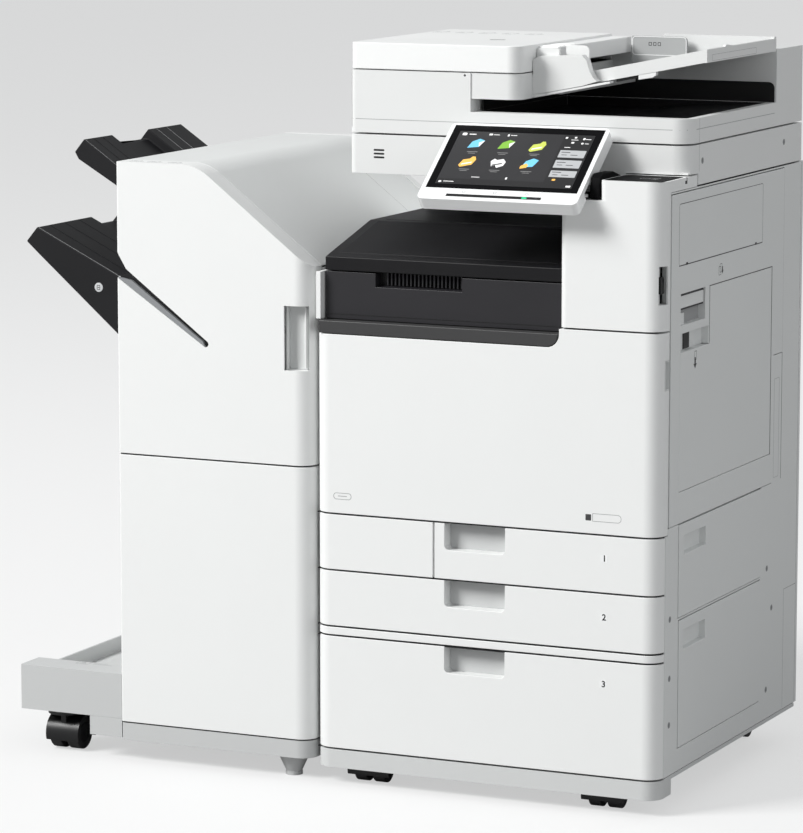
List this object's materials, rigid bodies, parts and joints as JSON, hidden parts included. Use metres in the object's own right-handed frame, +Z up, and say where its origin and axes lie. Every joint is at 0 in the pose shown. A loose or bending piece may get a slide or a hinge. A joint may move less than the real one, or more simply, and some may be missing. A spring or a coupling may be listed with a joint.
{
  "type": "office photocopier",
  "caption": "Floor-standing office photocopier with paper drawers, flatbed reader, sloping document feeder, tilting touch panel and a docked stapling finisher.",
  "frame": {"origin": "on the floor, under the centre of the whole machine's bounding box", "axes": "+X to the machine's right, +Y from its front to its back, +Z up"},
  "size_m": [1.19, 0.698, 1.2],
  "materials": {
    "body_white": "fine-textured moulded plastic",
    "panel_white": "smooth glossy moulding",
    "dark_plastic": "fine-textured dark moulding",
    "lip_grey": "satin charcoal moulding",
    "tray_charcoal": "satin charcoal moulding",
    "bin_grey": "satin grey moulding",
    "black_plastic": "satin black moulding",
    "screen": "glossy cover over a display",
    "glass": "clear plate glass",
    "frame_steel": "zinc-plated pressed steel",
    "toner_dark": "blow-moulded bottle",
    "drum_coating": "photosensitive coating",
    "fuser_coating": "smooth heat-resistant sleeve",
    "roller_rubber": "matt rubber",
    "wheel_rubber": "hard rubber tread"
  },
  "bodies": {
    "machine": {"main_frame": "frame_steel", "base_plinth": "body_white", "rear_cover": "body_white", "left_cover": "body_white", "right_side_cover": "body_white", "upper_right_cover": "body_white", "divider_trim": "body_white", "output_lip": "lip_grey", "buffer_body": "dark_plastic", "reader_body": "body_white", "platen_glass": "glass", "panel_arm": "black_plastic", "finisher_frame": "frame_steel", "finisher_lower_panel": "body_white", "finisher_side_covers": "body_white", "outrigger_base": "body_white"},
    "front_cover": {"front_cover": "body_white"},
    "buffer_lid": {"buffer_lid": "dark_plastic"},
    "waste_toner_door": {"waste_toner_door": "body_white"},
    "drawer_1": {"drawer_1_front": "body_white", "drawer_1_tray": "bin_grey"},
    "drawer_1_lift_plate": {"drawer_1_lift_plate": "frame_steel"},
    "drawer_2": {"drawer_2_front": "body_white", "drawer_2_tray": "bin_grey"},
    "drawer_2_lift_plate": {"drawer_2_lift_plate": "frame_steel"},
    "drawer_3": {"drawer_3_front": "body_white", "drawer_3_tray": "bin_grey"},
    "drawer_3_lift_plate": {"drawer_3_lift_plate": "frame_steel"},
    "right_door": {"right_door": "body_white"},
    "bypass_tray": {"bypass_tray": "body_white"},
    "bypass_extension": {"bypass_extension": "bin_grey"},
    "door_lever": {"door_lever": "dark_plastic"},
    "lower_right_door": {"lower_right_door": "body_white"},
    "cassette_unit_door": {"cassette_unit_door": "body_white"},
    "power_switch": {"power_switch": "black_plastic"},
    "control_panel": {"control_panel": "panel_white", "touch_screen": "screen"},
    "scan_carriage": {"scan_carriage": "black_plastic"},
    "feeder": {"feeder_body": "body_white"},
    "feeder_cover": {"feeder_cover": "body_white"},
    "document_tray": {"document_tray": "body_white"},
    "rear_side_guide": {"rear_side_guide": "body_white"},
    "front_side_guide": {"front_side_guide": "body_white"},
    "feed_roller": {"feed_roller": "roller_rubber"},
    "toner_bottle": {"toner_bottle": "toner_dark"},
    "drum_roller": {"drum_roller": "drum_coating"},
    "fixing_roller": {"fixing_roller": "fuser_coating"},
    "finisher_door": {"finisher_door": "body_white"},
    "finisher_top_cover": {"finisher_top_cover": "body_white"},
    "upper_tray": {"upper_tray": "tray_charcoal"},
    "lower_tray": {"lower_tray": "tray_charcoal"},
    "exit_rollers": {"exit_rollers": "roller_rubber"},
    "left_caster": {"left_caster_fork": "black_plastic"},
    "left_caster_wheels": {"left_caster_wheels": "wheel_rubber"},
    "right_caster": {"right_caster_fork": "black_plastic"},
    "right_caster_wheels": {"right_caster_wheels": "wheel_rubber"},
    "rear_wheels": {"rear_wheels": "wheel_rubber"},
    "finisher_caster": {"finisher_caster_fork": "black_plastic"},
    "finisher_caster_wheels": {"finisher_caster_wheels": "wheel_rubber"},
    "finisher_rear_wheels": {"finisher_rear_wheels": "wheel_rubber"}
  },
  "joints": [
    {"name": "front_cover_hinge", "type": "hinge", "parent": "machine", "child": "front_cover", "pos_m": [0.295, -0.3, 0.4475], "axis": [1, 0, 0], "range_deg": [0, 85]},
    {"name": "buffer_lid_hinge", "type": "hinge", "parent": "machine", "child": "buffer_lid", "pos_m": [0.213, 0.22, 0.838], "axis": [-1, 0, 0], "range_deg": [0, 8]},
    {"name": "waste_door_hinge", "type": "hinge", "parent": "machine", "child": "waste_toner_door", "pos_m": [-0.004, -0.3, 0.4], "axis": [0, 0, -1], "range_deg": [0, 85]},
    {"name": "drawer_1_slide", "type": "slide", "parent": "machine", "child": "drawer_1", "axis": [0, -1, 0], "range_m": [0, 0.45]},
    {"name": "drawer_1_lift", "type": "hinge", "parent": "drawer_1", "child": "drawer_1_lift_plate", "pos_m": [0.228, 0.01, 0.371], "axis": [0, -1, 0], "range_deg": [0, 8]},
    {"name": "drawer_2_slide", "type": "slide", "parent": "machine", "child": "drawer_2", "axis": [0, -1, 0], "range_m": [0, 0.45]},
    {"name": "drawer_2_lift", "type": "hinge", "parent": "drawer_2", "child": "drawer_2_lift_plate", "pos_m": [0.048, 0.01, 0.277], "axis": [0, -1, 0], "range_deg": [0, 7]},
    {"name": "drawer_3_slide", "type": "slide", "parent": "machine", "child": "drawer_3", "axis": [0, -1, 0], "range_m": [0, 0.45]},
    {"name": "drawer_3_lift", "type": "hinge", "parent": "drawer_3", "child": "drawer_3_lift_plate", "pos_m": [0.048, 0.01, 0.078], "axis": [0, -1, 0], "range_deg": [0, 12]},
    {"name": "right_door_hinge", "type": "hinge", "parent": "machine", "child": "right_door", "pos_m": [0.595, 0.2547, 0.72], "axis": [0, 0, 1], "range_deg": [0, 90]},
    {"name": "bypass_tray_hinge", "type": "hinge", "parent": "right_door", "child": "bypass_tray", "pos_m": [0.595, -0.01, 0.5085], "axis": [0, 1, 0], "range_deg": [0, 75]},
    {"name": "bypass_extension_slide", "type": "slide", "parent": "bypass_tray", "child": "bypass_extension", "axis": [0, 0, 1], "range_m": [0, 0.08]},
    {"name": "door_lever_pivot", "type": "hinge", "parent": "right_door", "child": "door_lever", "pos_m": [0.589, -0.166, 0.818], "axis": [0, -1, 0], "range_deg": [0, 20], "stiffness_Nm_per_rad": 0.1},
    {"name": "lower_door_hinge", "type": "hinge", "parent": "machine", "child": "lower_right_door", "pos_m": [0.595, -0.028, 0.3073], "axis": [0, 1, 0], "range_deg": [0, 85]},
    {"name": "cassette_unit_door_hinge", "type": "hinge", "parent": "machine", "child": "cassette_unit_door", "pos_m": [0.595, -0.026, 0.0963], "axis": [0, 1, 0], "range_deg": [0, 85]},
    {"name": "power_switch_rock", "type": "hinge", "parent": "machine", "child": "power_switch", "pos_m": [0.583, -0.283, 0.842], "axis": [0, 1, 0], "range_deg": [0, 7]},
    {"name": "panel_tilt", "type": "hinge", "parent": "machine", "child": "control_panel", "pos_m": [0.448, -0.296, 0.978], "axis": [1, 0, 0], "range_deg": [-2, 18]},
    {"name": "scan_carriage_slide", "type": "slide", "parent": "machine", "child": "scan_carriage", "axis": [1, 0, 0], "range_m": [0, 0.36]},
    {"name": "feeder_hinge", "type": "hinge", "parent": "machine", "child": "feeder", "pos_m": [0.295, 0.341, 1.051], "axis": [-1, 0, 0], "range_deg": [0, 65]},
    {"name": "feeder_cover_hinge", "type": "hinge", "parent": "feeder", "child": "feeder_cover", "pos_m": [0.009, 0.008, 1.1555], "axis": [0, -1, 0], "range_deg": [0, 60]},
    {"name": "document_tray_hinge", "type": "hinge", "parent": "feeder", "child": "document_tray", "pos_m": [0.349, 0.044, 1.135], "axis": [0, -1, 0], "range_deg": [0, 10]},
    {"name": "rear_guide_slide", "type": "slide", "parent": "document_tray", "child": "rear_side_guide", "axis": [0, -1, 0], "range_m": [0, 0.09]},
    {"name": "front_guide_slide", "type": "slide", "parent": "document_tray", "child": "front_side_guide", "axis": [0, 1, 0], "range_m": [0, 0.09]},
    {"name": "feed_roller_spin", "type": "hinge", "parent": "feeder", "child": "feed_roller", "pos_m": [0.265, 0.02, 1.138], "axis": [0, 1, 0], "continuous": true},
    {"name": "toner_bottle_spin", "type": "hinge", "parent": "machine", "child": "toner_bottle", "pos_m": [0.145, 0, 0.64], "axis": [0, 1, 0], "continuous": true},
    {"name": "drum_spin", "type": "hinge", "parent": "machine", "child": "drum_roller", "pos_m": [0.465, 0.015, 0.64], "axis": [0, 1, 0], "continuous": true},
    {"name": "fixing_roller_spin", "type": "hinge", "parent": "machine", "child": "fixing_roller", "pos_m": [0.5, 0.015, 0.86], "axis": [0, 1, 0], "continuous": true},
    {"name": "finisher_door_hinge", "type": "hinge", "parent": "machine", "child": "finisher_door", "pos_m": [-0.362, -0.3, 0.76], "axis": [0, 0, -1], "range_deg": [0, 95]},
    {"name": "finisher_top_hinge", "type": "hinge", "parent": "machine", "child": "finisher_top_cover", "pos_m": [-0.185, 0.318, 1], "axis": [-1, 0, 0], "range_deg": [0, 35]},
    {"name": "upper_tray_lift", "type": "slide", "parent": "machine", "child": "upper_tray", "axis": [0, 0, 1], "range_m": [-0.1, 0]},
    {"name": "lower_tray_lift", "type": "slide", "parent": "machine", "child": "lower_tray", "axis": [0, 0, 1], "range_m": [-0.4, 0]},
    {"name": "exit_roller_spin", "type": "hinge", "parent": "machine", "child": "exit_rollers", "pos_m": [-0.351, 0, 0.778], "axis": [0, 1, 0], "continuous": true},
    {"name": "left_caster_swivel", "type": "hinge", "parent": "machine", "child": "left_caster", "pos_m": [0.082, -0.242, 0.045], "axis": [0, 0, 1], "continuous": true},
    {"name": "left_caster_roll", "type": "hinge", "parent": "left_caster", "child": "left_caster_wheels", "pos_m": [0.082, -0.254, 0.022], "axis": [1, 0, 0], "continuous": true},
    {"name": "right_caster_swivel", "type": "hinge", "parent": "machine", "child": "right_caster", "pos_m": [0.493, -0.242, 0.045], "axis": [0, 0, 1], "continuous": true},
    {"name": "right_caster_roll", "type": "hinge", "parent": "right_caster", "child": "right_caster_wheels", "pos_m": [0.493, -0.254, 0.022], "axis": [1, 0, 0], "continuous": true},
    {"name": "rear_wheels_roll", "type": "hinge", "parent": "machine", "child": "rear_wheels", "pos_m": [0.295, 0.3, 0.022], "axis": [1, 0, 0], "continuous": true},
    {"name": "finisher_caster_swivel", "type": "hinge", "parent": "machine", "child": "finisher_caster", "pos_m": [-0.485, -0.268, 0.06], "axis": [0, 0, 1], "continuous": true},
    {"name": "finisher_caster_roll", "type": "hinge", "parent": "finisher_caster", "child": "finisher_caster_wheels", "pos_m": [-0.485, -0.252, 0.028], "axis": [1, 0, 0], "continuous": true},
    {"name": "finisher_rear_roll", "type": "hinge", "parent": "machine", "child": "finisher_rear_wheels", "pos_m": [-0.275, 0.286, 0.028], "axis": [1, 0, 0], "continuous": true}
  ],
  "couplings": [
    {"joint": "front_guide_slide", "follows": "rear_guide_slide", "ratio": 1},
    {"joint": "fixing_roller_spin", "follows": "drum_spin", "ratio": 0.8824}
  ]
}
